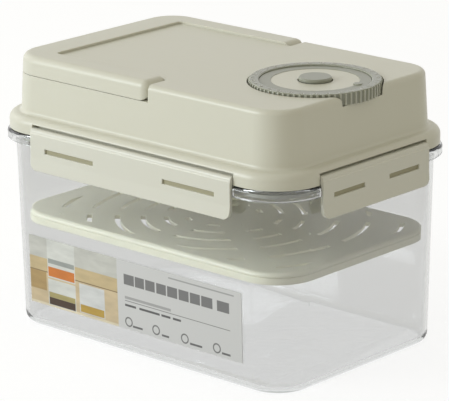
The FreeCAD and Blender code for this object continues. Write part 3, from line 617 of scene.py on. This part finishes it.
finishes = {
    "container": clearPlastic,
    "front_label": printedLabel,
    "lid_shell": creamPlastic,
    "lid_gasket": siliconeRubber,
    "carry_handle": handlePlastic,
    "handle_pin_front": springSteel,
    "handle_pin_back": springSteel,
    "date_ring": ribbedPlastic,
    "pointer_ring": greyPlastic,
    "dial_hub": creamPlastic,
    "valve_button": greyPlastic,
    "valve_spring": springSteel,
    "valve_seal": siliconeRubber,
    "valve_clip": springSteel,
    "press_plate": platePaintedLightPlastic,
}
for side in sides:
    finishes[side + "_latch"] = latchPaintedLightPlastic
    finishes[side + "_latch_pin"] = springSteel
for name, material in finishes.items():
    mesh = nodes[name].data
    mesh.materials.clear()
    mesh.materials.append(material)
print("nodes dressed")


dial = {
    "centre": (0.0744, 0.0),
    "level": 0.1719,
    "numeralRadius": 0.0368,
    "numeralHeight": 0.0026,
    "sizePerHeight": 1.25,
    "smoothness": 3,
    "relief": 0.00012,
    "merge": 1e-7,
    "count": 31,
}


def makeNumerals():
    bm = bmesh.new()
    middle = Matrix.Translation((*dial["centre"], dial["level"]))
    outwards = Matrix.Translation((0, dial["numeralRadius"], 0))
    for day in range(1, dial["count"] + 1):
        text = bpy.data.curves.new("numeral", "FONT")
        text.body = str(day)
        text.size = dial["numeralHeight"] * dial["sizePerHeight"]
        text.align_x = "CENTER"
        text.align_y = "CENTER"
        text.resolution_u = dial["smoothness"]
        text.extrude = dial["relief"]
        holder = addObject("numeral", text)
        bpy.context.view_layer.update()
        mesh = bpy.data.meshes.new_from_object(holder)
        angle = -2 * math.pi * (day - 1) / dial["count"]
        mesh.transform(middle @ Matrix.Rotation(angle, 4, "Z") @ outwards)
        bm.from_mesh(mesh)
        bpy.data.objects.remove(holder)
        bpy.data.curves.remove(text)
        bpy.data.meshes.remove(mesh)
    bmesh.ops.remove_doubles(bm, verts=bm.verts, dist=dial["merge"])
    bmesh.ops.recalc_face_normals(bm, faces=bm.faces)
    piece = addObject("dial_numerals", closeMesh(bm, "dial_numerals", numeralPaint))
    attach(piece, "date_ring")


makeNumerals()
print("dial numbered")


# The sunk floors of the latches' slots, thin enough to clear the box's lugs behind them, coloured dark olive
# as painted shade in the slots
slotFloors = {
    "level": 0.1184,
    "height": 0.0030,
    "thickness": 0.0003,
    "bedding": 0.00004,
    "border": 0.0004,
    "dish": 0.0001,
    "facing": 0.9,
    "front": {"turn": -90, "reach": 0.0822, "centre": 0.0489, "length": 0.0412},
    "back": {"turn": 90, "reach": 0.0822, "centre": 0.0489, "length": 0.0412},
    "left": {"turn": 180, "reach": 0.1210, "centre": 0.0249, "length": 0.0278},
    "right": {"turn": 0, "reach": 0.1210, "centre": 0.0249, "length": 0.0278},
}


def makeSlotFloors(side):
    look = dict(slotFloors, **slotFloors[side])
    size = (look["thickness"], look["length"] + look["bedding"] * 2, look["height"] + look["bedding"] * 2)
    bm = bmesh.new()
    for shift in (-look["centre"], look["centre"]):
        made = bmesh.ops.create_cube(bm, size=1.0)
        bmesh.ops.scale(bm, verts=made["verts"], vec=size)
        place = (look["reach"] - look["thickness"] / 2, shift, look["level"])
        bmesh.ops.translate(bm, verts=made["verts"], vec=place)
    faces = [face for face in bm.faces if face.normal.x > look["facing"]]
    bmesh.ops.inset_individual(bm, faces=faces, thickness=look["border"], depth=-look["dish"])
    bmesh.ops.rotate(bm, verts=bm.verts, matrix=Matrix.Rotation(math.radians(look["turn"]), 3, "Z"))
    name = side + "_latch_slot_painted_shade"
    piece = addObject(name, closeMesh(bm, name, paintedShadePlastic))
    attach(piece, side + "_latch")


for side in sides:
    makeSlotFloors(side)
print("latch slots floored")


# The coil under the button: a smooth-shaded copy of the valve spring that rides on the lid
spring = {"travel": 0.0018, "merge": 2e-6}


def makeSpring():
    mesh = nodes["valve_spring"].data.copy()
    mesh.name = "coil_spring"
    bm = bmesh.new()
    bm.from_mesh(mesh)
    bmesh.ops.remove_doubles(bm, verts=bm.verts, dist=spring["merge"])
    for face in bm.faces:
        face.smooth = True
    bm.to_mesh(mesh)
    bm.free()
    piece = addObject("coil_spring", mesh)
    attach(piece, "lid")
    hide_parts("valve_spring")
    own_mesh(piece)


makeSpring()
print("spring wound")


# Floor, light and background

stage = {
    "floorHalf": 3.0,
    "floorColour": (0.8, 0.8, 0.8, 1.0),
    "floorGlow": 1.14,
    "shadowShare": 0.25,
    "ambient": (0.495, 0.473, 0.388, 1.0),
    "lit": (0.0, 0.0, 0.09),
    "lamps": {
        "keyLight": {"place": (-1.0, -1.45, 0.74), "power": 17.2, "size": 0.9, "colour": (0.90, 0.965, 1.0)},
        "leftLight": {"place": (-1.5, -0.1, 0.8), "power": 2.5, "size": 0.8, "colour": (1.0, 1.0, 1.0)},
    },
}


def seenRays(tree):
    path = addNode(tree, "ShaderNodeLightPath")
    seen = calculate(tree, "MAXIMUM", path.outputs["Is Camera Ray"], path.outputs["Is Glossy Ray"])
    return calculate(tree, "MAXIMUM", seen, path.outputs["Is Transmission Ray"])


def makeFloor():
    material = newMaterial("paleFloor")
    tree = material.node_tree
    matt = addNode(tree, "ShaderNodeBsdfDiffuse")
    matt.inputs["Color"].default_value = stage["floorColour"]
    glow = addNode(tree, "ShaderNodeEmission")
    glow.inputs["Strength"].default_value = stage["floorGlow"]
    share = calculate(tree, "MULTIPLY", seenRays(tree), 1.0 - stage["shadowShare"])
    closeTree(tree, mixShaders(tree, share, matt, glow))
    bm = bmesh.new()
    bmesh.ops.create_grid(bm, x_segments=1, y_segments=1, size=stage["floorHalf"])
    floor = addObject("floor", closeMesh(bm, "floor", material))


def makeWorld():
    world = bpy.data.worlds.new("studio")
    bpy.context.scene.world = world
    world.use_nodes = True
    tree = world.node_tree
    tree.nodes.clear()
    sky = addNode(tree, "ShaderNodeBackground")
    join(tree, mixColours(tree, seenRays(tree), stage["ambient"], white), sky.inputs["Color"])
    closeTree(tree, sky.outputs[0], "ShaderNodeOutputWorld")


def addLamp(name, look):
    data = bpy.data.lights.new(name, "AREA")
    data.shape = "DISK"
    data.energy = look["power"]
    data.size = look["size"]
    data.color = look["colour"]
    lamp = addObject(name, data)
    lamp.location = look["place"]
    away = Vector(look["place"]) - Vector(stage["lit"])
    lamp.rotation_mode = "QUATERNION"
    lamp.rotation_quaternion = away.to_track_quat("Z", "Y")


makeFloor()
makeWorld()
for name, look in stage["lamps"].items():
    addLamp(name, look)
placeCamera()
bpy.context.scene.view_settings.view_transform = "Standard"
print("stage and light ready")
